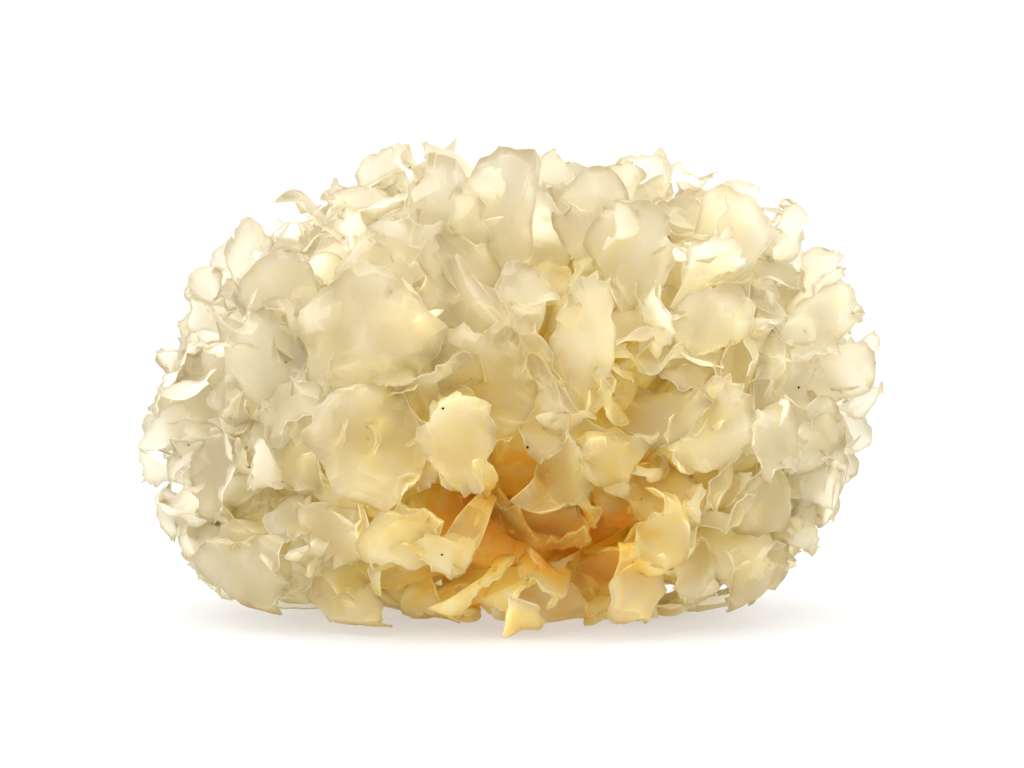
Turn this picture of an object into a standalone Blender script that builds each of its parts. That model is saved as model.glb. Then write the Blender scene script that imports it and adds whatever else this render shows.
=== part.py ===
# A dried head of snow fungus. Thin lobed fronds spread from an amber base that ends in a flat cut.
# Metres, +Z up. The head stands on its cut, and its longest side lies along X.

import math

import bmesh
import bpy
import numpy as np
from mathutils import Vector

# Driving dimensions: the rounded envelope that the margins reach, and the point that every frond spreads from
HEAD_CENTRE = np.array((0.0000, -0.0006, 0.0531))
HEAD_HALF = np.array((0.0821, 0.0560, 0.0524))
PLAN_ROUNDNESS = 2.2                           # seen from above: 2 is an ellipse, more is boxier
UPPER_ROUNDNESS = 2.5                          # seen from the side, above the middle
LOWER_ROUNDNESS = 4.5                          # and below it
CORE = np.array((0.008, 0.0, 0.016))

# The envelope draws in round these ways out of the core, seen from the front at its lower right and at its
# upper left. Each has its width, how much wider it is along Y, and the share of the distance that it loses
DRAWN_IN = (
    (np.array((0.92, 0.0, -0.05)), 0.34, 2.5, 0.13),
    (np.array((-0.70, 0.0, 0.72)), 0.30, 1.6, 0.075),
)
ENVELOPE_LIMIT = 0.2                           # farther from the core than any point of the envelope
ENVELOPE_STEPS = 26                            # halvings that find the envelope in one direction

# The base: a lumpy dome round the core, which widens below into a short upright foot
BASE_RADIUS = 0.0205
FOOT_RADIUS = 0.0225
FOOT_HEIGHT = 0.0045
FLARE_START = math.radians(104)                # from straight up
LUMP_DEPTH = 0.0008
LUMP_SPACING = 0.016
LUMP_SEED = 40
BASE_SEGMENTS = 22
BASE_COLOUR = (0.62, 0.33, 0.08)
BASE_ROUGHNESS = 0.45

# The fronds
FROND_THICKNESS = 0.0010
FROND_SEGMENTS = (7, 5)                        # across, along
FLOOR_CLEARANCE = 0.0016                       # lowest point of a frond above the cut
ROOT_RADIUS = 0.0215                           # distance of each root from the core
ROOT_SHARE = 0.60                              # how much of its own sector a frond fills at its root
MARGIN_SHARE = 0.95                            # and at its margin
FULL_WIDTH_AT = 0.8                            # share of its length where a frond has its full width
STEEPEST = 0.03                                # radians from straight up
AMBER_COLOUR = np.array((0.82, 0.64, 0.33))    # of the lowest fronds
CREAM_COLOUR = np.array((0.90, 0.83, 0.64))    # of the topmost ones
FROND_ROUGHNESS = 0.55

# The tiers of fronds from the top down: angle of the roots and of the margins from straight up, in degrees,
# and how many fronds stand round the tier
TIERS = (
    (12, 8, 2),
    (34, 24, 5),
    (55, 40, 8),
    (72, 56, 9),
    (84, 72, 10),
    (92, 88, 9),
    (99, 103, 6),
)
TURN_BETWEEN_TIERS = math.radians(137.5)
PLAN_SEED = 50

# What differs from frond to frond, as ranges or as choices
SECTOR_SPREAD = (0.8, 1.2)
LOBE_COUNTS = (2, 2, 3, 4)
LOBE_SPREAD = (0.7, 1.3)
MARGIN_SPREAD = (-3.5, 3.5)                    # degrees
REACHES = (0.92, 0.97, 1.0, 1.0, 1.02)         # of the way to the envelope
NOTCH_DEPTHS = (0.05, 0.11)                    # between lobes, of the reach
TILTS = (-2, 2)                                # degrees, from one side of the margin to the other
CUPS = (-2, 3)                                 # degrees
LOBE_BENDS = (3, 6.5)                          # degrees, each lobe the other way from its neighbour
SHADES = (-0.03, 0.03)

# Swells run round the whole head, so that neighbouring fronds rise and fall together. Each has its height in
# degrees at the margin, the power by which it grows from the root, its count of waves round the head, how it
# turns with the angle of the root and along the frond, and its phase
SWELLS = (
    (5, 2.0, 3, 1.0, 0.0, 0.6),
    (6, 2.5, 5, -1.2, 1.5, 2.0),
)
CALM_BELOW = math.radians(40)                  # roots nearer to straight up than this swell less
CUP_BALANCE = 0.3                              # keeps a cupped margin near its own height
CORNER_LOSS = 0.19                             # how much shorter a frond is at its corners
ARC = 0.97                                     # share of a half circle that rounds lobes and corners

# A slow warp bends all fronds together outside the base
WARP_DEPTH = 0.0022
WARP_SPACING = 0.050
WARP_SEED = 100
WARP_START, WARP_FULL = 0.022, 0.055           # distances from the core

# Noise that shapes the warp and the lumps
NOISE_WAVES = 7
NOISE_STRETCH = (0.75, 1.35)


def smooth_step(low, high, value):
    t = np.clip((value - low) / (high - low), 0.0, 1.0)
    return t * t * (3.0 - 2.0 * t)


def smooth_noise(points, spacing, seed):
    """A sum of plane waves in random directions, about -1 to 1."""
    generator = np.random.RandomState(seed)
    direction = generator.normal(size=(NOISE_WAVES, 3))
    direction /= np.linalg.norm(direction, axis=1)[:, None]
    direction *= generator.uniform(*NOISE_STRETCH, size=(NOISE_WAVES, 1))
    phase = generator.uniform(0.0, 2.0 * math.pi, size=NOISE_WAVES)
    angle = points @ (direction.T * (2.0 * math.pi / spacing)) + phase
    return np.sin(angle).sum(axis=-1) / math.sqrt(NOISE_WAVES * 0.5)


def noise_vector(points, spacing, seed):
    return np.stack([smooth_noise(points, spacing, seed + axis) for axis in range(3)], axis=-1)


def distance_to_envelope(direction):
    """How far the envelope lies from the core along each unit direction, by bisection, less what draws in."""
    low = np.zeros(direction.shape[:-1])
    high = np.full(direction.shape[:-1], ENVELOPE_LIMIT)
    for _ in range(ENVELOPE_STEPS):
        middle = 0.5 * (low + high)
        offset = (CORE + direction * middle[..., None] - HEAD_CENTRE) / HEAD_HALF
        plan = (np.abs(offset[..., :2]) ** PLAN_ROUNDNESS).sum(axis=-1) ** (1.0 / PLAN_ROUNDNESS)
        power = np.where(offset[..., 2] > 0.0, UPPER_ROUNDNESS, LOWER_ROUNDNESS)
        inside = plan ** power + np.abs(offset[..., 2]) ** power < 1.0
        low = np.where(inside, middle, low)
        high = np.where(inside, high, middle)
    for towards, width, stretch, loss in DRAWN_IN:
        apart = np.linalg.norm((direction - towards) / (width, width * stretch, width), axis=-1)
        low = low * (1.0 - loss * np.exp(-apart ** 2))
    return low


def plan_fronds():
    """Share the circle of each tier out among its fronds."""
    generator = np.random.RandomState(PLAN_SEED)
    fronds = []
    for tier, (root_angle, margin_angle, count) in enumerate(TIERS):
        sectors = generator.uniform(*SECTOR_SPREAD, size=count)
        sectors *= 2.0 * math.pi / sectors.sum()
        start = tier * TURN_BETWEEN_TIERS
        for sector in sectors:
            lobes = generator.choice(LOBE_COUNTS)
            steps = generator.uniform(*LOBE_SPREAD, size=lobes)
            fronds.append({
                "name": f"frond_{len(fronds) + 1:02d}",
                "root_angle": math.radians(root_angle),
                "margin_angle": math.radians(margin_angle + generator.uniform(*MARGIN_SPREAD)),
                "turn": start + 0.5 * sector,
                "half_sector": 0.5 * sector,
                "reach": generator.choice(REACHES),
                "lobe_edges": np.concatenate(((0.0,), np.cumsum(steps))) / steps.sum() * 2.0 - 1.0,
                "first_lobe": generator.choice((-1.0, 1.0)),
                "notch": generator.uniform(*NOTCH_DEPTHS),
                "tilt": math.radians(generator.uniform(*TILTS)),
                "cup": math.radians(generator.uniform(*CUPS)),
                "lobe_bend": math.radians(generator.uniform(*LOBE_BENDS)),
                "shade": generator.uniform(*SHADES),
            })
            start += sector
    return fronds


def lobe_place(frond, across):
    """Where a point lies in its own lobe, -1 to 1, and which way that lobe bends."""
    edges = frond["lobe_edges"]
    lobe = np.clip(np.searchsorted(edges, across, side="right") - 1, 0, len(edges) - 2)
    middle = 0.5 * (edges[lobe] + edges[lobe + 1])
    half = 0.5 * (edges[lobe + 1] - edges[lobe])
    bend_sign = frond["first_lobe"] * np.where(lobe % 2 == 0, 1.0, -1.0)
    return np.clip((across - middle) / half, -1.0, 1.0), bend_sign


def swell_angle(turn, root, along):
    total = 0.0
    for height, power, count, root_drift, twist, phase in SWELLS:
        wave = np.sin(count * turn + root_drift * root + twist * along + phase)
        total = total + math.radians(height) * along ** power * wave
    return total


def arc_drop(place):
    """0 in the middle of a lobe, near 1 at its sides, along an arc."""
    return 1.0 - np.sqrt(1.0 - ARC * place ** 2)


def frond_points(frond, across, along):
    """Middle surface of a frond: across runs -1 to 1, along runs 0 at the root to 1 at the margin."""
    root = frond["root_angle"]
    rise = frond["margin_angle"] - root
    share = ROOT_SHARE + (MARGIN_SHARE - ROOT_SHARE) * smooth_step(0.0, FULL_WIDTH_AT, along)
    turn = frond["turn"] + across * frond["half_sector"] * share

    place, bend_sign = lobe_place(frond, across)
    bend = swell_angle(turn, root, along)
    bend += frond["cup"] * along ** 2 * (across ** 2 - CUP_BALANCE)
    bend += frond["lobe_bend"] * bend_sign * (1.0 - place ** 2) * along ** 3
    calm = smooth_step(0.0, CALM_BELOW, root)
    angle = root + rise * along ** 2 + frond["tilt"] * across * along + calm * bend
    angle = np.maximum(angle, STEEPEST)

    direction = np.stack((np.sin(angle) * np.cos(turn), np.sin(angle) * np.sin(turn), np.cos(angle)), axis=-1)
    length_share = 1.0 - CORNER_LOSS * arc_drop(across) - frond["notch"] * arc_drop(place)
    reach = distance_to_envelope(direction) * frond["reach"] * length_share
    radius = ROOT_RADIUS + (reach - ROOT_RADIUS) * along
    points = CORE + direction * radius[..., None]

    free = smooth_step(WARP_START, WARP_FULL, radius)[..., None]
    points = points + WARP_DEPTH * free * noise_vector(points, WARP_SPACING, WARP_SEED)
    points[..., 2] = np.maximum(points[..., 2], FLOOR_CLEARANCE + 0.5 * FROND_THICKNESS)
    return points


def add_material(name, colour, roughness):
    material = bpy.data.materials.new(name)
    material.use_nodes = True
    shader = material.node_tree.nodes["Principled BSDF"]
    shader.inputs["Base Color"].default_value = (*colour, 1.0)
    shader.inputs["Roughness"].default_value = roughness
    shader.inputs["Metallic"].default_value = 0.0
    return material


def link_object(name, mesh, material):
    thing = bpy.data.objects.new(name, mesh)
    bpy.context.collection.objects.link(thing)
    mesh.materials.append(material)
    mesh.shade_smooth()
    return thing


def make_frond(frond):
    """A flat grid bent to the frond's middle surface, then given its thickness."""
    shape = bmesh.new()
    bmesh.ops.create_grid(shape, x_segments=FROND_SEGMENTS[0], y_segments=FROND_SEGMENTS[1], size=1.0)
    shape.verts.ensure_lookup_table()
    flat = np.array([vertex.co[:] for vertex in shape.verts])
    points = frond_points(frond, flat[:, 0], 0.5 * (flat[:, 1] + 1.0))
    for vertex, point in zip(shape.verts, points):
        vertex.co = point
    mesh = bpy.data.meshes.new(frond["name"])
    shape.to_mesh(mesh)
    shape.free()

    height = 0.5 * (1.0 + math.cos(frond["root_angle"]))
    colour = AMBER_COLOUR + (CREAM_COLOUR - AMBER_COLOUR) * height + frond["shade"]
    thing = link_object(frond["name"], mesh, add_material(frond["name"], colour, FROND_ROUGHNESS))
    wall = thing.modifiers.new("wall", "SOLIDIFY")
    wall.thickness = FROND_THICKNESS
    wall.offset = 0.0


def base_profile():
    """Half outline of the base from its top to the middle of the cut, as distances from the upright axis and
    heights."""
    foot_drop = CORE[2] - FOOT_HEIGHT
    foot_angle = math.pi - math.atan2(FOOT_RADIUS, foot_drop)
    foot_distance = math.hypot(FOOT_RADIUS, foot_drop)
    steps = BASE_SEGMENTS // 2
    profile = []
    for step in range(steps + 1):
        angle = foot_angle * step / steps
        flare = smooth_step(FLARE_START, foot_angle, angle)
        radius = BASE_RADIUS + (foot_distance - BASE_RADIUS) * flare
        profile.append((radius * math.sin(angle), CORE[2] + radius * math.cos(angle)))
    profile.append((FOOT_RADIUS, 0.0))
    profile.append((0.0, 0.0))
    return profile


def make_base():
    """The profile turned about the upright axis, with lumps pressed into it above the cut."""
    shape = bmesh.new()
    line = [shape.verts.new((CORE[0] + x, CORE[1], z)) for x, z in base_profile()]
    edges = [shape.edges.new(pair) for pair in zip(line[:-1], line[1:])]
    bmesh.ops.spin(shape, geom=line + edges, cent=CORE, axis=(0, 0, 1), angle=2 * math.pi,
                   steps=BASE_SEGMENTS, use_merge=True)
    bmesh.ops.remove_doubles(shape, verts=shape.verts, dist=0.00005)
    bmesh.ops.recalc_face_normals(shape, faces=shape.faces)
    for vertex in shape.verts:
        if vertex.co.z > 0.5 * FOOT_HEIGHT:
            outward = (vertex.co - Vector(CORE)).normalized()
            lump = smooth_noise(np.array(vertex.co[:]), LUMP_SPACING, LUMP_SEED)
            vertex.co -= outward * LUMP_DEPTH * (1.0 + 0.5 * lump)
    mesh = bpy.data.meshes.new("base")
    shape.to_mesh(mesh)
    shape.free()
    link_object("base", mesh, add_material("base", BASE_COLOUR, BASE_ROUGHNESS))


def main():
    for thing in list(bpy.data.objects):
        bpy.data.objects.remove(thing, do_unlink=True)
    make_base()
    for frond in plan_fronds():
        make_frond(frond)


main()
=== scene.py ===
import math

import bpy
import numpy as np
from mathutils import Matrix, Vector


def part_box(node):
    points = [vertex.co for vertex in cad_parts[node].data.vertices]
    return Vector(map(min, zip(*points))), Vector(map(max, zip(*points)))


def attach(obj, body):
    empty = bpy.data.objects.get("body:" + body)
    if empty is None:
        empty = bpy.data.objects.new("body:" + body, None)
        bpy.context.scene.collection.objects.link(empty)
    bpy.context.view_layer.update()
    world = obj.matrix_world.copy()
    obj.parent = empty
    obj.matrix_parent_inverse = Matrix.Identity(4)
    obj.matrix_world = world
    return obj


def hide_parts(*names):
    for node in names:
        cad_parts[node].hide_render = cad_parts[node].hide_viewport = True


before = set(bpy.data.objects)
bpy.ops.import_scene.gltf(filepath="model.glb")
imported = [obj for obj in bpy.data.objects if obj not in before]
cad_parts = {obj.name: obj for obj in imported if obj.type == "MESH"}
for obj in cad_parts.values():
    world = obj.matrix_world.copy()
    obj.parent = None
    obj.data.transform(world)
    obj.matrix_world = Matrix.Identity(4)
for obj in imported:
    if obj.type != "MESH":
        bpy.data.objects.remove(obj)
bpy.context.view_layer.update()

# A dried head of snow fungus, metres, +Z up. It grows from a core just above its cut base. Every frond is a
# thin sheet that leaves the base, widens and ends in lobes, and smaller lobes fork off it on both sides.
# Petals are rounded lobes that lie along the head's form, and fans are narrower ones that stand out from it.

head = {
    "centre": np.array((0.0, -0.0006, 0.0531)),       # of the rounded form that all margins reach
    "half": np.array((0.0821, 0.0560, 0.0524)),
    "planRoundness": 2.2,
    "upperRoundness": 2.5,
    "lowerRoundness": 4.5,
    "core": np.array((0.008, 0.0, 0.016)),
    "farthest": 0.2,                                  # from the core, past every margin
    "halvings": 18,                                   # of a way out of the core, to find the form on it
    "lowest": 0.0018,                                 # least height of a sheet, before it gets its wall
    "softPress": 0.12,                                # share of the reach over which margins bend flat
    "drawnIn": (                                      # way from the core, width, stretch along Y, loss
        (np.array((0.92, 0.0, -0.05)), 0.34, 2.5, 0.13),
        (np.array((-0.70, 0.0, 0.72)), 0.30, 1.6, 0.075),
    ),
}

cleft = {                                             # the fold at the front where the amber core shows
    "from": np.array((-0.015, 0.033)),                # x and z
    "to": np.array((0.024, 0.008)),
    "width": 0.0070,
    "depth": 0.32,
    "front": (0.002, 0.020),                          # it sets in between these distances in front of y 0
    "shares": (0.3, 0.6),                             # and between these shares of the reach
}

tiers = (                                             # root and margin angle from straight up, fronds
    (12, 8, 2),
    (34, 24, 5),
    (55, 40, 8),
    (72, 56, 9),
    (84, 72, 10),
    (92, 88, 9),
    (99, 103, 6),
)


def smoothStep(low, high, value):
    t = np.clip((value - low) / (high - low), 0.0, 1.0)
    return t * t * (3.0 - 2.0 * t)


noiseWaves = 7
noisePaces = (0.75, 1.35)                             # of single waves, against the spacing asked for


def smoothNoise(points, spacing, seed):
    generator = np.random.RandomState(seed)
    direction = generator.normal(size=(noiseWaves, 3))
    direction /= np.linalg.norm(direction, axis=1)[:, None]
    direction *= generator.uniform(*noisePaces, size=(noiseWaves, 1))
    phase = generator.uniform(0.0, 2.0 * math.pi, size=noiseWaves)
    angle = points @ (direction.T * (2.0 * math.pi / spacing)) + phase
    return np.sin(angle).sum(axis=-1) / math.sqrt(noiseWaves * 0.5)


def noiseVector(points, spacing, seed):
    return np.stack([smoothNoise(points, spacing, seed + axis) for axis in range(3)], axis=-1)


def unit(vector):
    return vector / np.maximum(np.linalg.norm(vector, axis=-1, keepdims=True), 1e-12)


# distance from the core to the rounded form
def reachAlong(direction):
    low = np.zeros(direction.shape[:-1])
    high = np.full(direction.shape[:-1], head["farthest"])
    planPower = head["planRoundness"]
    for _ in range(head["halvings"]):
        middle = 0.5 * (low + high)
        offset = (head["core"] + direction * middle[..., None] - head["centre"]) / head["half"]
        plan = (np.abs(offset[..., :2]) ** planPower).sum(axis=-1) ** (1.0 / planPower)
        power = np.where(offset[..., 2] > 0.0, head["upperRoundness"], head["lowerRoundness"])
        inside = plan ** power + np.abs(offset[..., 2]) ** power < 1.0
        low = np.where(inside, middle, low)
        high = np.where(inside, high, middle)
    for towards, width, stretch, loss in head["drawnIn"]:
        apart = np.linalg.norm((direction - towards) / (width, width * stretch, width), axis=-1)
        low = low * (1.0 - loss * np.exp(-apart ** 2))
    return low


# how far a point lies in the fold, 0 to 1
def inCleft(points):
    line = cleft["to"] - cleft["from"]
    flat = points[..., (0, 2)] - cleft["from"]
    share = np.clip((flat @ line) / (line @ line), 0.0, 1.0)
    apart = np.linalg.norm(flat - share[..., None] * line, axis=-1)
    return np.exp(-(apart / cleft["width"]) ** 2) * smoothStep(*cleft["front"], -points[..., 1])


# distance and way from the core to each point
def wayOut(points):
    offset = points - head["core"]
    radius = np.linalg.norm(offset, axis=-1)
    return radius, offset / np.maximum(radius, 1e-9)[..., None]


# margins that pass the rounded form bend flat against it
def pressInside(points, limit):
    radius, direction = wayOut(points)
    edge = reachAlong(direction) * limit
    soft = head["softPress"]
    share = radius / edge
    pressed = np.where(share > 1.0 - soft, 1.0 - soft * np.exp(-(share - 1.0 + soft) / soft), share)
    pressed = pressed * (1.0 - cleft["depth"] * inCleft(points) * smoothStep(*cleft["shares"], pressed))
    inside = head["core"] + direction * (pressed * edge)[..., None]
    inside[..., 2] = np.maximum(inside[..., 2], head["lowest"])
    return inside


# a last bound, for lobes that already lie along the form
def keepInside(points, limit):
    radius, direction = wayOut(points)
    inside = head["core"] + direction * np.minimum(radius, reachAlong(direction) * limit)[..., None]
    inside[..., 2] = np.maximum(inside[..., 2], head["lowest"])
    return inside


def sheetNormals(points):
    return unit(np.cross(np.gradient(points, axis=1), np.gradient(points, axis=0)))


wrinkles = {
    "broad": (0.0015, 0.032),                         # height and spacing
    "middle": (0.0016, 0.014, 0.25, 11),              # also the share far from a margin, and a seed step
    "fine": (0.00055, 0.0060, 0.3, 17),
}


# uneven bends, and finer ones that grow towards the margin
def wrinkleSheet(points, free, margin, seed):
    height, spacing = wrinkles["broad"]
    points = points + (height * free)[..., None] * noiseVector(points, spacing, seed)
    bends = []
    for height, spacing, calm, step in (wrinkles["middle"], wrinkles["fine"]):
        bends.append(height * (calm + (1.0 - calm) * margin) * smoothNoise(points, spacing, seed + step))
    return points + sheetNormals(points) * (free * (bends[0] + bends[1]))[..., None]


frondLook = {
    "planSeed": 50,
    "turnBetweenTiers": math.radians(137.5),
    "sectorSpread": (0.8, 1.2),
    "marginSpread": 3.5,                              # degrees either way
    "reaches": (0.92, 0.97, 1.0, 1.0, 1.02),
    "lobeCounts": (2, 2, 3, 4),
    "notch": (0.05, 0.11),                            # share of the reach lost between two lobes
    "tilt": (-2, 2),                                  # degrees
    "cup": (-2, 3),
    "lobeBend": (3, 6.5),
    "swells": (                                       # degrees, power along, waves, drift, twist, phase
        (7, 2.0, 3, 1.0, 0.0, 0.6),
        (6, 2.5, 5, -1.2, 1.5, 2.0),
    ),
    "calmTo": math.radians(40),                       # the top fronds swell less
    "steepest": 0.03,                                 # least angle from straight up
    "warp": 0.0022,
    "warpSpacing": 0.050,
    "warpSeed": 100,
    "rootRadius": 0.0175,                             # inside the base, so that no gap shows
    "rootShare": 0.60,                                # width at the root and at the margin, of the sector
    "marginShare": 1.02,
    "widenTo": 0.8,                                   # share of the length where it is widest
    "sway": 0.05,
    "swayPace": 6,
    "corner": 0.4,                                    # how far the corners of the grid are rounded off
    "margin": 0.96,                                   # share of the reach, the rest is left to the lobes
    "marginFrom": 0.3,                                # share of the length where its finer bends set in
    "ragged": 0.0011,                                 # depth of the small bites
    "bitePace": 2,
    "freeFrom": (0.022, 0.055),                       # bends set in between these distances from the core
    "limit": 1.03,                                    # share of the reach that no margin passes
    "grid": (40, 24),                                 # squares across and along
    "thinnest": 0.0003,                               # of the wall
    "thickest": 0.0024,
    "thickWithin": (0.018, 0.055),                    # it thins between these distances from the core
    "wallSteps": 10,
    "floorGap": 0.0002,                               # the least room under a wall
    "smoothWithin": math.radians(16),                 # a wider angle darkens tight folds
}


lobeWidths = (0.7, 1.3)                               # of lobes side by side, against their mean


# draws lobes side by side, and gives their edges from -1 to 1
def drawEdges(generator, count):
    steps = generator.uniform(*lobeWidths, size=count)
    return np.concatenate(((0.0,), np.cumsum(steps))) / steps.sum() * 2.0 - 1.0


def planFronds():
    generator = np.random.RandomState(frondLook["planSeed"])
    spread = frondLook["marginSpread"]
    fronds = []
    for tier, (rootAngle, marginAngle, count) in enumerate(tiers):
        sectors = generator.uniform(*frondLook["sectorSpread"], size=count)
        sectors *= 2.0 * math.pi / sectors.sum()
        start = tier * frondLook["turnBetweenTiers"]
        for sector in sectors:
            edges = drawEdges(generator, generator.choice(frondLook["lobeCounts"]))
            fronds.append({
                "name": f"frond_{len(fronds) + 1:02d}",
                "root": math.radians(rootAngle),
                "margin": math.radians(marginAngle + generator.uniform(-spread, spread)),
                "turn": start + 0.5 * sector,
                "halfSector": 0.5 * sector,
                "reach": generator.choice(frondLook["reaches"]),
                "edges": edges,
                "firstLobe": generator.choice((-1.0, 1.0)),
                "notch": generator.uniform(*frondLook["notch"]),
                "tilt": math.radians(generator.uniform(*frondLook["tilt"])),
                "cup": math.radians(generator.uniform(*frondLook["cup"])),
                "lobeBend": math.radians(generator.uniform(*frondLook["lobeBend"])),
                "tone": generator.uniform(-1, 1),
                "seed": 1000 + 37 * len(fronds),
            })
            start += sector
    return fronds


# place within a lobe, from -1 to 1, and the side that the lobe bends to
def lobePlace(edges, first, across):
    lobe = np.clip(np.searchsorted(edges, across, side="right") - 1, 0, len(edges) - 2)
    middle = 0.5 * (edges[lobe] + edges[lobe + 1])
    half = 0.5 * (edges[lobe + 1] - edges[lobe])
    return np.clip((across - middle) / half, -1.0, 1.0), first * np.where(lobe % 2 == 0, 1.0, -1.0)


# a round outline: nothing in the middle of a lobe, and nearly 1 at its edges
def arcDrop(place):
    return 1.0 - np.sqrt(1.0 - 0.97 * place ** 2)


# small uneven bites along a margin
def ragged(across, seed):
    slow = np.sin(7.3 * across + seed) * np.sin(11.9 * across + 1.7 * seed)
    return slow + 0.55 * np.sin(19.1 * across + 2.3 * seed + 2.0 * slow)


# across from -1 to 1 and along from 0 to 1, for every point of a sheet
def sheetGrid(columns, rows):
    return np.meshgrid(np.linspace(-1.0, 1.0, columns + 1), np.linspace(0.0, 1.0, rows + 1))


def frondPoints(frond):
    across, along = sheetGrid(*frondLook["grid"])
    root = frond["root"]
    narrow = frondLook["rootShare"]
    share = narrow + (frondLook["marginShare"] - narrow) * smoothStep(0.0, frondLook["widenTo"], along)
    margin = smoothStep(frondLook["marginFrom"], 1.0, along) ** 2

    # the grid's outer half is rounded
    corner = frondLook["corner"]
    end = np.clip(along / 0.5 - 1.0, 0.0, 1.0)
    along = np.where(along < 0.5, along, 0.5 + 0.5 * end * np.sqrt(1.0 - corner * across ** 2))
    across = across * np.sqrt(1.0 - corner * end ** 2)

    sway = frondLook["sway"] * np.sin(frondLook["swayPace"] * along + frond["seed"]) * along
    turn = frond["turn"] + (across + sway) * frond["halfSector"] * share
    place, bendSign = lobePlace(frond["edges"], frond["firstLobe"], across)
    bend = frond["cup"] * along ** 2 * (across ** 2 - 0.3)
    bend = bend + 1.5 * frond["lobeBend"] * bendSign * (1.0 - place ** 2) * along ** 3
    for height, power, count, drift, twist, phase in frondLook["swells"]:
        wave = np.sin(count * turn + drift * root + twist * along + phase)
        bend = bend + math.radians(height) * along ** power * wave
    calm = smoothStep(0.0, frondLook["calmTo"], root)
    angle = root + (frond["margin"] - root) * along ** 2 + frond["tilt"] * across * along + calm * bend
    angle = np.maximum(angle, frondLook["steepest"])
    plan = np.sin(angle)
    direction = np.stack((plan * np.cos(turn), plan * np.sin(turn), np.cos(angle)), axis=-1)
    length = frondLook["margin"] * (1.0 - 1.4 * frond["notch"] * arcDrop(place))
    bites = frondLook["ragged"] * ragged(frondLook["bitePace"] * across, frond["seed"]) * along ** 8
    reach = reachAlong(direction) * frond["reach"] * length + bites
    radius = frondLook["rootRadius"] + (reach - frondLook["rootRadius"]) * along
    points = head["core"] + direction * radius[..., None]
    free = smoothStep(*frondLook["freeFrom"], radius)
    warp = noiseVector(points, frondLook["warpSpacing"], frondLook["warpSeed"])
    points = points + (frondLook["warp"] * free)[..., None] * warp
    return pressInside(wrinkleSheet(points, free, margin, frond["seed"]), frondLook["limit"])


lobeLook = {
    "inner": (0, 0, 1),                               # how many fork off each frond, deep in the head
    "innerForkAt": (0.42, 0.68),
    "innerCurl": (25, 80),                            # degrees
    "outer": (2, 3, 4),                               # and near its margin
    "outerForkAt": (0.74, 0.95),
    "outerCurl": (50, 110),
    "spread": 0.85,                                   # they fork off as far as this to a frond's sides
    "jitter": 0.12,
    "toneShare": 0.5,                                 # that a lobe takes over from its frond
    "halfWidth": (0.0050, 0.0095),
    "lengthShare": (1.5, 2.1),                        # of the half width
    "roll": 35,                                       # degrees either way
    "cup": (-0.25, 0.35),
    "parts": (1, 1, 2, 3),
    "notch": (0.08, 0.20),
    "waist": (0.35, 0.55),                            # share of the length below the widest place
    "neck": 0.42,                                     # and share of the grid's rows
    "neckWidth": 0.35,
    "corner": 0.5,
    "fold": 0.14,
    "ragged": 0.06,
    "wide": 0.007,                                    # lobes of less half width wrinkle less
    "limit": (0.95, 1.03),
    "grid": (16, 14),
    "curlPower": 1.3,                                 # the curl gets tighter towards the tip
    "curveSteps": 60,
    "budChance": 0.35,
    "budForkAt": (0.60, 0.92),
    "budSpread": 0.9,
    "budHalfWidth": (0.0026, 0.0044),
    "budCurl": (10, 90),
    "budGrid": (10, 8),
}


def planLobe(generator, forkAt, across, curl, halfWidth):
    parts = generator.choice(lobeLook["parts"])
    edges = drawEdges(generator, parts)
    width = generator.uniform(*halfWidth)
    return {
        "across": across,
        "along": generator.uniform(*forkAt),
        "side": generator.choice((-1.0, 1.0)),
        "halfWidth": width,
        "length": width * generator.uniform(*lobeLook["lengthShare"]),
        "curl": math.radians(generator.uniform(*curl)),
        "roll": math.radians(generator.uniform(-1, 1) * lobeLook["roll"]),
        "cup": generator.uniform(*lobeLook["cup"]),
        "edges": edges,
        "notch": generator.uniform(*lobeLook["notch"]) * (1.0 if parts > 1 else 0.0),
        "waist": generator.uniform(*lobeLook["waist"]),
        "limit": generator.uniform(*lobeLook["limit"]),
        "seed": int(generator.randint(1, 90000)),
    }


frameSteps = (0.05, 0.04)                             # across and along, to feel how a sheet lies


# a place on a sheet that is already bent, with the way out and the face there
def frameAt(points, across, along):
    wide, far = frameSteps

    def at(acrossStep, alongStep):
        rows, columns = points.shape[:2]
        column = np.clip((across + acrossStep + 1.0) * 0.5, 0.0, 1.0) * (columns - 1)
        row = np.clip(along + alongStep, 0.0, 1.0) * (rows - 1)
        i = int(min(column, columns - 2))
        j = int(min(row, rows - 2))
        x = column - i
        y = row - j
        inner = points[j, i] * (1 - x) + points[j, i + 1] * x
        outer = points[j + 1, i] * (1 - x) + points[j + 1, i + 1] * x
        return inner * (1 - y) + outer * y

    outward = unit(at(0.0, far) - at(0.0, -far))
    normal = unit(np.cross(at(wide, 0.0) - at(-wide, 0.0), outward))
    return at(0.0, 0.0), outward, normal


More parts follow.
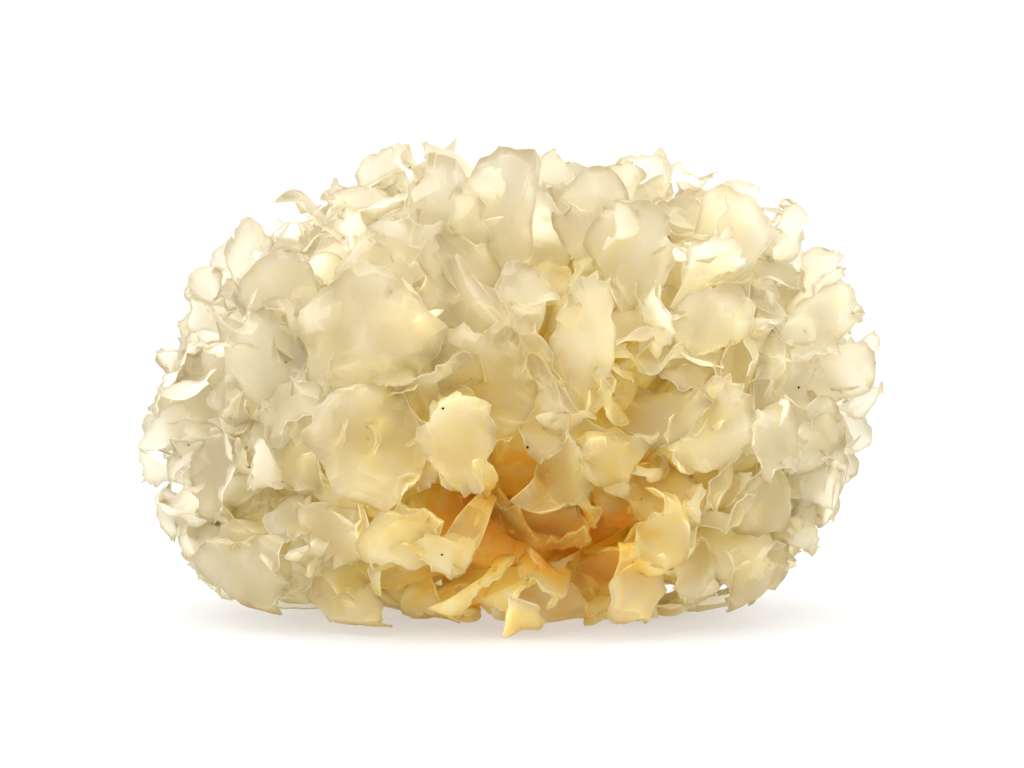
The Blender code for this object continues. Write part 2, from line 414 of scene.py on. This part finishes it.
# a lobe leaves its sheet outwards and curls over to one side
def lobePoints(parentPoints, lobe, grid):
    across, along = sheetGrid(*grid)
    start, outward, normal = frameAt(parentPoints, lobe["across"], lobe["along"])
    normal = normal * lobe["side"]
    sideways = np.cross(outward, normal)
    turned = math.cos(lobe["roll"]) * normal + math.sin(lobe["roll"]) * sideways
    sideways = np.cross(outward, turned)

    # the curl as a curve in the plane of outward and turned
    curveSteps = lobeLook["curveSteps"]
    steps = np.linspace(0.0, 1.0, curveSteps)
    bend = lobe["curl"] * steps ** lobeLook["curlPower"]
    outwardRun = np.concatenate(((0.0,), np.cumsum(np.cos(bend[1:])))) * lobe["length"] / (curveSteps - 1)
    sideRun = np.concatenate(((0.0,), np.cumsum(np.sin(bend[1:])))) * lobe["length"] / (curveSteps - 1)

    # the outline: a neck, then a rounded end that notches part
    neck = lobeLook["neck"]
    corner = lobeLook["corner"]
    neckWidth = lobeLook["neckWidth"]
    waist = lobe["waist"]
    outer = np.clip((along - neck) / (1.0 - neck), 0.0, 1.0)
    run = np.where(along < neck, along / neck * waist,
                   waist + (1.0 - waist) * outer * np.sqrt(1.0 - corner * across ** 2))
    widen = neckWidth + (1.0 - neckWidth) * smoothStep(0.0, neck, along)
    side = across * np.where(along < neck, widen, np.sqrt(1.0 - corner * outer ** 2))
    place, bendSign = lobePlace(lobe["edges"], 1.0, np.arctan2(side, outer + 1e-6) / (0.5 * math.pi))
    margin = np.maximum(outer, np.abs(across) * smoothStep(0.3 * neck, neck, along)) ** 2
    shrink = 1.0 - lobe["notch"] * arcDrop(place) * margin
    run = waist + (run - waist) * shrink
    width = lobe["halfWidth"] * side * shrink

    theta = np.interp(run, steps, bend)
    lift = lobe["cup"] * along * (across ** 2 - 0.3)
    lift = lift + lobeLook["fold"] * bendSign * (1.0 - place ** 2) * margin
    points = start + outward * np.interp(run, steps, outwardRun)[..., None]
    points = points + turned * np.interp(run, steps, sideRun)[..., None] + sideways * width[..., None]
    away = turned * np.cos(theta)[..., None] - outward * np.sin(theta)[..., None]
    forward = outward * np.cos(theta)[..., None] + turned * np.sin(theta)[..., None]
    edge = lobeLook["ragged"] * ragged(across, lobe["seed"]) * along ** 6
    points = points + lobe["halfWidth"] * (away * lift[..., None] + forward * edge[..., None])
    free = smoothStep(0.0, 0.5, along) * min(1.0, lobe["halfWidth"] / lobeLook["wide"])
    points = wrinkleSheet(points, free, margin, lobe["seed"])
    pressed = pressInside(points, lobe["limit"])
    return points + (pressed - points) * smoothStep(0.0, 0.6, along)[..., None]


petalLook = {
    "count": 265,                                     # spread evenly over the whole head
    "seed": 11,
    "span": 2.0,                                      # from the top down, of a height of 2
    "jitter": 0.12,
    "halfWidth": (0.0046, 0.0096),
    "heightShare": (0.75, 1.15),
    "turnSpread": 55,                                 # degrees either way
    "growsFrom": 0.034,                               # height above which lobes point up and below it down
    "depth": (0.90, 1.0),                             # share of the reach at the tip
    "lean": (0.03, 0.26),                             # and how much less at the foot
    "curl": (-0.30, 0.40),
    "parts": (1, 2, 2, 3, 4),
    "notch": (0.10, 0.30),
    "lowest": 0.006,                                  # none starts below this height
    "clear": 0.008,                                   # or this near to one of the listed front lobes
    "mostFolded": 0.3,                                # or deeper in the fold
    "neck": 0.28,                                     # share of the grid's rows
    "neckWidth": 0.28,
    "corner": 0.5,
    "fold": 0.16,
    "partPace": 1.25,                                 # above 1 its parts keep clear of its foot
    "sideCurl": 0.4,                                  # share of the curl that goes to its sides
    "ragged": 0.055,
    "bitePace": 2.4,
    "limit": 1.035,
    "grid": (14, 14),
    "dense": 0.22,                                    # the most that one is denser than the rest
    "densePower": 1.5,                                # few are that dense
    "anchorRows": 0.5,                                # they grow from the outer half of a frond
    "anchorBelow": 1.1,                               # half heights below their middle
    "anchorDeeper": 0.06,                             # and this share of the reach below their foot
}

fanLook = {
    "count": 120,                                     # lobes that stand away from the core all over the head
    "seed": 23,
    "span": 1.8,
    "jitter": 0.2,
    "halfWidth": (0.0038, 0.0072),
    "heightShare": (0.85, 1.3),
    "depth": (0.985, 1.03),
    "tilt": 24,                                       # degrees either way
    "curl": (-0.25, 0.35),
    "frontLimit": 0.72,                               # none where it would be seen end on from the front
}

goldenTurn = 2.39996                                  # spreads points evenly round the head, radians

# lobes that stand out at the front: x, height, half width, half height, turn from up, depth, lean, curl
frontPetals = (
    (-33.0, 67.0, 16.5, 11.0, -12, 1.00, 0.10, 0.10),
    (-51.5, 75.0, 8.0, 7.0, -35, 1.00, 0.14, 0.05),
    (-55.0, 59.5, 9.0, 9.0, -50, 0.99, 0.10, 0.20),
    (-33.5, 99.0, 8.0, 6.0, -55, 1.02, 0.20, -0.30),
    (-17.0, 95.0, 9.5, 10.0, -15, 1.01, 0.25, 0.25),
    (-2.0, 98.0, 8.0, 8.5, 5, 1.01, 0.25, 0.20),
    (-12.0, 84.0, 12.0, 8.0, -40, 0.97, 0.20, 0.10),
    (-6.0, 57.0, 10.5, 10.0, 15, 0.98, 0.12, 0.05),
    (15.0, 68.0, 8.5, 7.5, -10, 0.99, 0.15, 0.20),
    (44.0, 71.0, 9.0, 6.5, 20, 1.00, 0.12, 0.15),
    (44.0, 47.0, 8.5, 8.5, 60, 0.99, 0.10, 0.10),
    (57.5, 42.0, 6.5, 7.5, 150, 1.01, 0.08, 0.15),
    (69.0, 68.0, 7.0, 8.0, 60, 1.00, 0.10, 0.10),
    (27.5, 11.0, 8.0, 8.0, 180, 1.02, 0.12, 0.20),
    (10.0, 40.0, 8.0, 7.0, 30, 0.96, 0.15, 0.10),
    (-31.0, 42.0, 12.5, 9.0, -70, 0.99, 0.08, 0.05),
    (-69.0, 36.0, 7.0, 11.0, 195, 1.00, 0.08, -0.15),
    (-62.0, 13.0, 12.0, 7.0, 215, 1.01, 0.12, -0.10),
    (-24.0, 22.0, 8.0, 7.0, 200, 0.99, 0.12, 0.10),
    (52.0, 12.0, 8.0, 6.5, 160, 1.01, 0.10, -0.15),
    (40.5, 15.0, 7.0, 6.5, 190, 0.97, 0.10, 0.10),
    (30.0, 88.0, 9.5, 8.0, 15, 1.00, 0.20, 0.15),
    (18.0, 96.0, 8.5, 7.5, 0, 1.01, 0.20, -0.10),
    (48.0, 90.0, 8.0, 7.0, 35, 1.01, 0.15, -0.15),
)
tableScale = 0.001                                    # the table is in millimetres
sightLine = np.linspace(-0.07, 0.0, 400)              # along Y, from in front of the head to its middle


# where the rounded form is met, looking from the front at x and height
def frontPlace(x, height):
    line = np.stack((np.full_like(sightLine, x), sightLine, np.full_like(sightLine, height)), axis=-1)
    distance = np.linalg.norm(line - head["core"], axis=-1)
    met = np.flatnonzero(distance < reachAlong(unit(line - head["core"])))
    return line[met[0]] if len(met) else np.array((x, 0.0, height))


# the way out of the core to one of many places spread evenly over the head
def spreadWay(generator, look, number):
    rise = 1.0 - look["span"] * (number + 0.5) / look["count"]
    around = number * goldenTurn + generator.uniform(-look["jitter"], look["jitter"])
    ring = math.sqrt(1.0 - rise * rise)
    onBall = np.array((ring * math.cos(around), ring * math.sin(around), rise))
    return unit(onBall * head["half"] + head["centre"] - head["core"])


def finishPetal(generator, place, outward, petal):
    parts = generator.choice(petalLook["parts"])
    petal["edges"] = drawEdges(generator, parts)
    petal["place"] = place
    petal["outward"] = outward
    petal["notch"] = generator.uniform(*petalLook["notch"]) * (1.0 if parts > 1 else 0.0)
    petal["seed"] = int(generator.randint(1, 90000))
    petal["tone"] = generator.uniform(-1, 1)
    return petal


def planFrontPetals(generator):
    petals = []
    for x, height, halfWidth, halfHeight, turn, depth, lean, curl in frontPetals:
        place = frontPlace(tableScale * x, tableScale * height)
        outward = unit(place - head["core"])
        picture = np.array((math.sin(math.radians(turn)), 0.0, math.cos(math.radians(turn))))
        petals.append(finishPetal(generator, place, outward, {
            "up": unit(picture - outward * (picture @ outward)),
            "halfWidth": tableScale * halfWidth, "halfHeight": tableScale * halfHeight,
            "depth": depth, "lean": lean, "curl": curl}))
    return petals


def planPetals():
    generator = np.random.RandomState(petalLook["seed"])
    petals = planFrontPetals(generator)
    placed = np.array([petal["place"] for petal in petals])
    for number in range(petalLook["count"]):
        outward = spreadWay(generator, petalLook, number)
        place = head["core"] + outward * reachAlong(outward)
        halfWidth = generator.uniform(*petalLook["halfWidth"])
        halfHeight = halfWidth * generator.uniform(*petalLook["heightShare"])
        grow = place - np.array((head["core"][0], 0.0, petalLook["growsFrom"]))
        up = unit(grow - outward * (grow @ outward))
        turn = math.radians(generator.uniform(-1, 1) * petalLook["turnSpread"])
        up = math.cos(turn) * up + math.sin(turn) * np.cross(outward, up)
        petal = finishPetal(generator, place, outward, {
            "up": up, "halfWidth": halfWidth, "halfHeight": halfHeight,
            "depth": generator.uniform(*petalLook["depth"]), "lean": generator.uniform(*petalLook["lean"]),
            "curl": generator.uniform(*petalLook["curl"])})
        tooLow = place[2] < petalLook["lowest"]
        nearest = np.linalg.norm(placed - place, axis=1).min()
        hidesPlaced = place[1] < 0 and nearest < petalLook["clear"]
        folded = float(inCleft(place)) > petalLook["mostFolded"]
        if not (tooLow or hidesPlaced or folded):
            petals.append(petal)
    return petals


def planFans():
    generator = np.random.RandomState(fanLook["seed"])
    fans = []
    for number in range(fanLook["count"]):
        outward = spreadWay(generator, fanLook, number)
        reach = float(reachAlong(outward))
        halfWidth = generator.uniform(*fanLook["halfWidth"])
        halfHeight = halfWidth * generator.uniform(*fanLook["heightShare"])
        tip = reach * generator.uniform(*fanLook["depth"])
        across = unit(np.cross(outward, generator.normal(size=3)))
        tilt = math.radians(generator.uniform(-1, 1) * fanLook["tilt"])
        fan = finishPetal(generator, head["core"] + outward * (tip - halfHeight), outward, {
            "up": math.cos(tilt) * outward + math.sin(tilt) * across, "across": across,
            "halfWidth": halfWidth, "halfHeight": halfHeight,
            "depth": (tip - halfHeight) / reach, "lean": 0.0,
            "curl": generator.uniform(*fanLook["curl"])})
        if -outward[1] < fanLook["frontLimit"] and fan["place"][2] > petalLook["lowest"]:
            fans.append(fan)
    return fans


# a round lobe that lies along the rounded form or stands out from it, with its foot drawn back to the sheet
# that it grows from
def petalPoints(petal):
    across, along = sheetGrid(*petalLook["grid"])
    anchor = petal["anchor"]
    neck = petalLook["neck"]
    corner = petalLook["corner"]
    standing = "across" in petal
    sideways = petal["across"] if standing else np.cross(petal["outward"], petal["up"])
    row = np.clip((along - neck) / (1.0 - neck), 0.0, 1.0) * 2.0 - 1.0
    x = across * np.sqrt(1.0 - corner * row ** 2)
    y = row * np.sqrt(1.0 - corner * across ** 2)
    around = np.arctan2(x, y + 1.0) / (0.5 * math.pi)
    place, bendSign = lobePlace(petal["edges"], 1.0, np.clip(around * petalLook["partPace"], -1.0, 1.0))
    edge = np.clip(np.hypot(x, y), 0.0, 1.0) ** 3
    bites = petalLook["ragged"] * ragged(petalLook["bitePace"] * around, petal["seed"]) * edge ** 2
    size = 1.0 - petal["notch"] * arcDrop(place) * edge + bites
    flat = petal["place"] + sideways * (petal["halfWidth"] * x * size)[..., None]
    flat = flat + petal["up"] * (petal["halfHeight"] * y * size)[..., None]
    direction = unit(flat - head["core"])
    curl = petal["curl"] * (np.maximum(y, 0.0) ** 2 + petalLook["sideCurl"] * x ** 2)
    fold = petalLook["fold"] * bendSign * (1.0 - place ** 2) * edge
    lift = petal["halfHeight"] * (curl + fold)
    depth = petal["depth"] - petal["lean"] * 0.5 * (1.0 - y)
    disc = head["core"] + direction * (reachAlong(direction) * depth + lift)[..., None]
    if standing:
        disc = flat + np.cross(sideways, petal["up"]) * lift[..., None]

    # the neck bends from the foot of the disc down to its anchor
    q = np.clip(along / neck, 0.0, 1.0)[..., None]
    foot = disc[int(round(neck * petalLook["grid"][1]))][None, :, :]
    under = foot - petal["up"] * 0.5 * np.linalg.norm(anchor - foot, axis=-1, keepdims=True)
    root = anchor + sideways * (petalLook["neckWidth"] * petal["halfWidth"] * across)[..., None]
    stem = (1 - q) ** 2 * root + 2 * q * (1 - q) * under + q ** 2 * foot
    points = np.where((along < neck)[..., None], stem, disc)
    free = smoothStep(0.0, 0.5, along)
    points = wrinkleSheet(points, free, edge, petal["seed"])
    shift = smoothStep(0.0, 0.4, along)[..., None]
    return points + (keepInside(points, petalLook["limit"]) - points) * shift


# every petal grows from a frond, at the place nearest to a point a little deeper in the head than its foot
def sharePetals(fronds, petals):
    for frond in fronds:
        frond["points"] = frondPoints(frond)
    rows = int(frondLook["grid"][1] * petalLook["anchorRows"])
    deep = np.concatenate([frond["points"][rows:].reshape(-1, 3) for frond in fronds])
    owner = np.repeat(np.arange(len(fronds)), [frond["points"][rows:, :, 0].size for frond in fronds])
    shares = [[] for _ in fronds]
    for petal in petals:
        wanted = petal["place"] - petal["up"] * petal["halfHeight"] * petalLook["anchorBelow"]
        share = petal["depth"] - petal["lean"] - petalLook["anchorDeeper"]
        wanted = head["core"] + (wanted - head["core"]) * share
        nearest = int(np.argmin(np.linalg.norm(deep - wanted, axis=1)))
        petal["anchor"] = deep[nearest]
        shares[owner[nearest]].append(petal)
    return shares


fleshLook = {
    "through": 0.93,                                  # share of the light that passes a wall
    "roughness": 0.40,
    "amberAt": (0.006, -0.010, 0.018),
    "amberStretch": (1.0, 0.50, 0.86),
    "amberTo": (0.005, 0.087),                        # distances where the amber begins and ends to fade
    "mottle": 0.40,
    "mottleScale": 60,
    "vein": 1.1,
    "veinMiddle": 0.07,
    "veinScale": 170,
    "toneShare": 0.07,
    "recessShadeTone": 3.0,                                # painted shade: deeper, darker yellow between the lobes than on them
    "recessShadeAt": (0.05, 0.35),                         # shares of the reach below the form, where the painted shade sets in
    "rimShare": 0.66,                                 # margins are thicker than the rest of a lobe
    "rimPowers": (11, 15),                            # higher ones keep that nearer to sides and to the end
    "denseColour": (0.72, 0.67, 0.56, 1),             # what the thicker places let through, against thin ones
    "colours": ((0.0, (0.992, 0.82, 0.36)), (0.07, (0.997, 0.89, 0.50)), (0.22, (0.9985, 0.945, 0.69)),
                (0.43, (0.999, 0.966, 0.82)), (0.70, (0.9995, 0.978, 0.895)), (1.0, (0.9995, 0.985, 0.93))),
    "speckColour": (0.06, 0.045, 0.03, 1),
    "speckScale": 120,
    "speckSize": 0.037,
    "speckChance": 0.5,
    "wrinkleScale": 240,
    "wrinkleStrength": 0.4,
    "wrinkleDepth": 0.0006,
}


# a flat grid whose points are moved into place
def addSheet(name, points, tone, dense=0.0):
    rows, columns = points.shape[:2]
    across, along = sheetGrid(columns - 1, rows - 1)
    sidePower, endPower = fleshLook["rimPowers"]
    margin = np.maximum(np.abs(across) ** sidePower * smoothStep(0.1, 0.5, along), along ** endPower)
    dense = dense + fleshLook["rimShare"] * margin
    # sheets lying deeper below the rounded form get painted shade: their tone is lowered towards the darker
    # amber
    radius = np.linalg.norm(points - head["core"], axis=-1)
    buried = 1.0 - radius / reachAlong(unit(points - head["core"]))
    tone = tone - fleshLook["recessShadeTone"] * smoothStep(*fleshLook["recessShadeAt"], buried)
    bpy.ops.object.select_all(action="DESELECT")
    bpy.ops.mesh.primitive_grid_add(x_subdivisions=columns - 1, y_subdivisions=rows - 1, size=2.0)
    sheet = bpy.context.object
    sheet.name = name
    sheet.data.vertices.foreach_set("co", points.ravel())
    for label, value in (("tone", tone), ("dense", dense)):
        layer = sheet.data.attributes.new(label, "FLOAT", "POINT")
        layer.data.foreach_set("value", np.broadcast_to(value, (rows, columns)).astype(np.float32).ravel())
    wall = sheet.vertex_groups.new(name="wall")
    thick = 1.0 - smoothStep(*frondLook["thickWithin"], radius.ravel())
    steps = frondLook["wallSteps"]
    for level in np.linspace(1.0 / steps, 1.0, steps):
        members = np.flatnonzero(np.abs(thick - level) <= 0.5 / steps)
        if len(members):
            wall.add([int(member) for member in members], float(level), "REPLACE")
    return sheet


def addBud(generator, points, pieces):
    across = lobeLook["budSpread"]
    bud = planLobe(generator, lobeLook["budForkAt"], generator.uniform(-across, across), lobeLook["budCurl"],
                   lobeLook["budHalfWidth"])
    pieces.append(addSheet("bud", lobePoints(points, bud, lobeLook["budGrid"]), generator.uniform(-1, 1)))


def joinSheets(pieces):
    bpy.ops.object.select_all(action="DESELECT")
    for piece in pieces:
        piece.select_set(True)
    bpy.context.view_layer.objects.active = pieces[0]
    bpy.ops.object.join()
    return pieces[0]


def giveWall(sheet):
    wall = sheet.modifiers.new("wall", "SOLIDIFY")
    wall.thickness = frondLook["thickest"]
    wall.offset = 0.0
    wall.vertex_group = "wall"
    wall.thickness_vertex_group = frondLook["thinnest"] / frondLook["thickest"]
    bpy.ops.object.modifier_apply(modifier="wall")
    sheet.modifiers.new("triangles", "TRIANGULATE")
    bpy.ops.object.modifier_apply(modifier="triangles")
    sheet.vertex_groups.clear()
    places = np.empty(len(sheet.data.vertices) * 3)
    sheet.data.vertices.foreach_get("co", places)
    places[2::3] = np.maximum(places[2::3], frondLook["floorGap"])
    sheet.data.vertices.foreach_set("co", places)
    bpy.ops.object.shade_smooth_by_angle(angle=frondLook["smoothWithin"])


def makeFrond(frond, petals):
    generator = np.random.RandomState(frond["seed"])
    tone = frond["tone"]
    spread = lobeLook["spread"]
    jitter = lobeLook["jitter"]
    pieces = [addSheet(frond["name"] + "_ruffle", frond["points"], tone)]
    for kind in ("inner", "outer"):
        count = generator.choice(lobeLook[kind])
        for number in range(count):
            across = -spread + 2.0 * spread * (number + 0.5) / count + generator.uniform(-jitter, jitter)
            lobe = planLobe(generator, lobeLook[kind + "ForkAt"], across, lobeLook[kind + "Curl"],
                            lobeLook["halfWidth"])
            points = lobePoints(frond["points"], lobe, lobeLook["grid"])
            lobeTone = lobeLook["toneShare"] * tone + generator.uniform(-1, 1)
            pieces.append(addSheet("lobe", points, lobeTone))
            if generator.uniform() < lobeLook["budChance"]:
                addBud(generator, points, pieces)
    for petal in petals:
        points = petalPoints(petal)
        dense = petalLook["dense"] * generator.uniform() ** petalLook["densePower"]
        pieces.append(addSheet("petal", points, petal["tone"], dense))
        if generator.uniform() < lobeLook["budChance"]:
            addBud(generator, points, pieces)
    ruffle = joinSheets(pieces)
    giveWall(ruffle)
    return ruffle


def mathNode(nodes, link, operation, *values):
    node = nodes.new("ShaderNodeMath")
    node.operation = operation
    for number, value in enumerate(values):
        if isinstance(value, (int, float)):
            node.inputs[number].default_value = value
        else:
            link(value, node.inputs[number])
    return node.outputs[0]


def noiseNode(nodes, link, place, scale, detail):
    noise = nodes.new("ShaderNodeTexNoise")
    noise.inputs["Scale"].default_value = scale
    noise.inputs["Detail"].default_value = detail
    link(place, noise.inputs["Vector"])
    return noise.outputs["Fac"]


# 0 in the amber near the core, towards 1 at the pale margins
def paleness(nodes, link, place):
    shift = nodes.new("ShaderNodeMapping")
    stretch = fleshLook["amberStretch"]
    shift.inputs["Location"].default_value = [-at * scale for at, scale in zip(fleshLook["amberAt"], stretch)]
    shift.inputs["Scale"].default_value = stretch
    link(place, shift.inputs["Vector"])
    distance = nodes.new("ShaderNodeVectorMath")
    distance.operation = "LENGTH"
    link(shift.outputs["Vector"], distance.inputs[0])
    spread = nodes.new("ShaderNodeMapRange")
    spread.inputs["From Min"].default_value = fleshLook["amberTo"][0]
    spread.inputs["From Max"].default_value = fleshLook["amberTo"][1]
    link(distance.outputs["Value"], spread.inputs["Value"])
    mottle = noiseNode(nodes, link, place, fleshLook["mottleScale"], 0)
    # the tone attribute holds random tone and also the painted shade between the lobes
    tone = nodes.new("ShaderNodeAttribute")
    tone.attribute_name = "tone"
    shade = mathNode(nodes, link, "MULTIPLY_ADD", mottle, fleshLook["mottle"], spread.outputs["Result"])
    shade = mathNode(nodes, link, "MULTIPLY_ADD", tone.outputs["Fac"], fleshLook["toneShare"], shade)
    vein = noiseNode(nodes, link, place, fleshLook["veinScale"], 1)
    ridge = mathNode(nodes, link, "ABSOLUTE", mathNode(nodes, link, "SUBTRACT", vein, 0.5))
    shade = mathNode(nodes, link, "MULTIPLY_ADD", ridge, fleshLook["vein"], shade)
    shade = mathNode(nodes, link, "SUBTRACT", shade, fleshLook["veinMiddle"] * fleshLook["vein"])
    return mathNode(nodes, link, "SUBTRACT", shade, 0.5 * fleshLook["mottle"])


def fleshRamp(nodes, link, shade):
    ramp = nodes.new("ShaderNodeValToRGB")
    link(shade, ramp.inputs[0])
    colours = ramp.color_ramp.elements
    stops = fleshLook["colours"]
    colours[0].position = stops[0][0]
    colours[0].color = (*stops[0][1], 1)
    colours[1].position = stops[-1][0]
    colours[1].color = (*stops[-1][1], 1)
    for position, colour in stops[1:-1]:
        colours.new(position).color = (*colour, 1)
    return ramp.outputs[0]


# thicker places let less light through
def addDenseness(nodes, link, colour):
    thick = nodes.new("ShaderNodeAttribute")
    thick.attribute_name = "dense"
    darker = nodes.new("ShaderNodeMix")
    darker.data_type = "RGBA"
    darker.blend_type = "MULTIPLY"
    link(thick.outputs["Fac"], darker.inputs["Factor"])
    link(colour, darker.inputs["A"])
    darker.inputs["B"].default_value = fleshLook["denseColour"]
    return darker.outputs["Result"]


# a few dark specks of bark dust
def addSpecks(nodes, link, place, colour):
    cells = nodes.new("ShaderNodeTexVoronoi")
    cells.inputs["Scale"].default_value = fleshLook["speckScale"]
    link(place, cells.inputs["Vector"])
    speck = mathNode(nodes, link, "LESS_THAN", cells.outputs["Distance"], fleshLook["speckSize"])
    rare = nodes.new("ShaderNodeSeparateColor")
    link(cells.outputs["Color"], rare.inputs[0])
    chosen = mathNode(nodes, link, "LESS_THAN", rare.outputs["Red"], fleshLook["speckChance"])
    speck = mathNode(nodes, link, "MULTIPLY", speck, chosen)
    dusted = nodes.new("ShaderNodeMix")
    dusted.data_type = "RGBA"
    link(speck, dusted.inputs["Factor"])
    link(colour, dusted.inputs["A"])
    dusted.inputs["B"].default_value = fleshLook["speckColour"]
    return dusted.outputs["Result"]


def faintWrinkles(nodes, link, place):
    bump = nodes.new("ShaderNodeBump")
    bump.inputs["Strength"].default_value = fleshLook["wrinkleStrength"]
    bump.inputs["Distance"].default_value = fleshLook["wrinkleDepth"]
    link(noiseNode(nodes, link, place, fleshLook["wrinkleScale"], 0), bump.inputs["Height"])
    return bump.outputs["Normal"]


def makeFleshMaterial():
    material = bpy.data.materials.new("driedFlesh")
    material.use_nodes = True
    nodes = material.node_tree.nodes
    nodes.clear()
    link = material.node_tree.links.new
    place = nodes.new("ShaderNodeTexCoord").outputs["Object"]
    colour = fleshRamp(nodes, link, paleness(nodes, link, place))
    colour = addSpecks(nodes, link, place, addDenseness(nodes, link, colour))
    gloss = nodes.new("ShaderNodeBsdfPrincipled")
    gloss.inputs["Roughness"].default_value = fleshLook["roughness"]
    link(colour, gloss.inputs["Base Color"])
    link(faintWrinkles(nodes, link, place), gloss.inputs["Normal"])
    through = nodes.new("ShaderNodeBsdfTranslucent")
    link(colour, through.inputs["Color"])
    mix = nodes.new("ShaderNodeMixShader")
    mix.inputs[0].default_value = fleshLook["through"]
    link(gloss.outputs[0], mix.inputs[1])
    link(through.outputs[0], mix.inputs[2])
    output = nodes.new("ShaderNodeOutputMaterial")
    link(mix.outputs[0], output.inputs[0])
    return material


baseLook = {
    "radius": 0.0200,
    "subdivisions": 6,
    "ridge": (0.0016, 0.022, 61),                     # height, spacing and seed
    "knob": (0.0005, 0.009, 62),
}


def makeBase(material):
    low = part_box("base")[0]
    radius = baseLook["radius"]
    ridgeHeight, ridgeSpacing, ridgeSeed = baseLook["ridge"]
    knobHeight, knobSpacing, knobSeed = baseLook["knob"]
    bpy.ops.object.select_all(action="DESELECT")
    bpy.ops.mesh.primitive_ico_sphere_add(subdivisions=baseLook["subdivisions"], radius=radius,
                                          location=tuple(head["core"]))
    base = bpy.context.object
    base.name = "holdfast"
    bpy.ops.object.transform_apply(location=True, rotation=False, scale=False)
    flat = np.empty(len(base.data.vertices) * 3)
    base.data.vertices.foreach_get("co", flat)
    points = flat.reshape(-1, 3)
    ridge = 1.0 - np.abs(smoothNoise(points, ridgeSpacing, ridgeSeed))
    knob = smoothNoise(points, knobSpacing, knobSeed)
    grow = radius + ridgeHeight * ridge + knobHeight * knob
    points = head["core"] + unit(points - head["core"]) * grow[:, None]
    points[:, 2] = np.maximum(points[:, 2], low.z)
    base.data.vertices.foreach_set("co", points.ravel())
    base.data.materials.append(material)
    bpy.ops.object.shade_smooth()
    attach(base, "root")
    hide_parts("base")


flesh = makeFleshMaterial()
fronds = planFronds()
shares = sharePetals(fronds, planPetals() + planFans())
print("head planned")
triangles = 0
for frond, petals in zip(fronds, shares):
    ruffle = makeFrond(frond, petals)
    ruffle.data.materials.clear()
    ruffle.data.materials.append(flesh)
    triangles += len(ruffle.data.polygons)
    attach(ruffle, "root")
    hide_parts(frond["name"])
print("fronds made:", len(fronds), "with", triangles, "triangles")
makeBase(flesh)
print("base made")

studio = {
    "distance": 0.64,
    "lens": 100,
    "elevation": 3,                                   # degrees
    "target": (0.0, 0.0, 0.052),
    "grey": (0.40, 0.40, 0.40, 1),                    # white in the picture, because the light is strong
    "roughness": 0.9,
    "floor": 0.46,                                    # glow of the floor near the head
    "wall": 0.40,                                     # and of the wall behind it
    "fade": (0.1, 1.2),                               # from the one to the other along Y
    "light": 2.14,
    "bounces": 15,                                    # light passes many walls on its way through the head
    "halfWidth": 3,                                   # of the backdrop
    "front": -2.5,
    "flatTo": 0.9,
    "sweepRadius": 0.6,
    "sweepSteps": 24,
    "top": 2.6,
}


def makeStageMaterial():
    pale = bpy.data.materials.new("paleStage")
    pale.use_nodes = True
    nodes = pale.node_tree.nodes
    link = pale.node_tree.links.new
    surface = nodes["Principled BSDF"]
    surface.inputs["Base Color"].default_value = studio["grey"]
    surface.inputs["Roughness"].default_value = studio["roughness"]
    place = nodes.new("ShaderNodeTexCoord")
    apart = nodes.new("ShaderNodeSeparateXYZ")
    link(place.outputs["Object"], apart.inputs[0])
    glow = nodes.new("ShaderNodeMapRange")
    glow.interpolation_type = "SMOOTHSTEP"
    glow.inputs["From Min"].default_value = studio["fade"][0]
    glow.inputs["From Max"].default_value = studio["fade"][1]
    glow.inputs["To Min"].default_value = studio["floor"]
    glow.inputs["To Max"].default_value = studio["wall"]
    link(apart.outputs["Y"], glow.inputs["Value"])
    surface.inputs["Emission Color"].default_value = (1, 1, 1, 1)
    link(glow.outputs["Result"], surface.inputs["Emission Strength"])
    pale.cycles.emission_sampling = "NONE"
    return pale


def makeStage():
    flatTo = studio["flatTo"]
    radius = studio["sweepRadius"]
    wide = studio["halfWidth"]
    profile = [(studio["front"], 0.0), (flatTo, 0.0)]
    for step in range(1, studio["sweepSteps"] + 1):
        turn = step / studio["sweepSteps"] * math.pi / 2
        profile.append((flatTo + radius * math.sin(turn), radius - radius * math.cos(turn)))
    profile.append((flatTo + radius, studio["top"]))
    points = [(x, y, z) for y, z in profile for x in (-wide, wide)]
    faces = [(2 * i, 2 * i + 1, 2 * i + 3, 2 * i + 2) for i in range(len(profile) - 1)]
    mesh = bpy.data.meshes.new("sweep")
    mesh.from_pydata(points, [], faces)
    mesh.shade_smooth()
    sweep = bpy.data.objects.new("sweep", mesh)
    bpy.context.collection.objects.link(sweep)
    sweep.data.materials.append(makeStageMaterial())


def makeWorld():
    world = bpy.data.worlds.new("softWhite")
    bpy.context.scene.world = world
    world.use_nodes = True
    sky = world.node_tree.nodes["Background"]
    sky.inputs["Color"].default_value = (1, 1, 1, 1)
    sky.inputs["Strength"].default_value = studio["light"]
    world.cycles.sampling_method = "NONE"


def makeCamera():
    camera = bpy.data.objects.new("camera", bpy.data.cameras.new("camera"))
    camera.data.lens = studio["lens"]
    bpy.context.collection.objects.link(camera)
    bpy.context.scene.camera = camera
    lift = math.radians(studio["elevation"])
    away = Vector((0.0, -math.cos(lift), math.sin(lift)))
    camera.location = Vector(studio["target"]) + away * studio["distance"]
    camera.rotation_euler = (-away).to_track_quat("-Z", "Y").to_euler()


makeStage()
makeWorld()
makeCamera()
print("studio made")

scene = bpy.context.scene
scene.view_settings.view_transform = "Standard"
scene.cycles.max_bounces = studio["bounces"]
scene.cycles.diffuse_bounces = studio["bounces"]
scene.cycles.transmission_bounces = studio["bounces"]
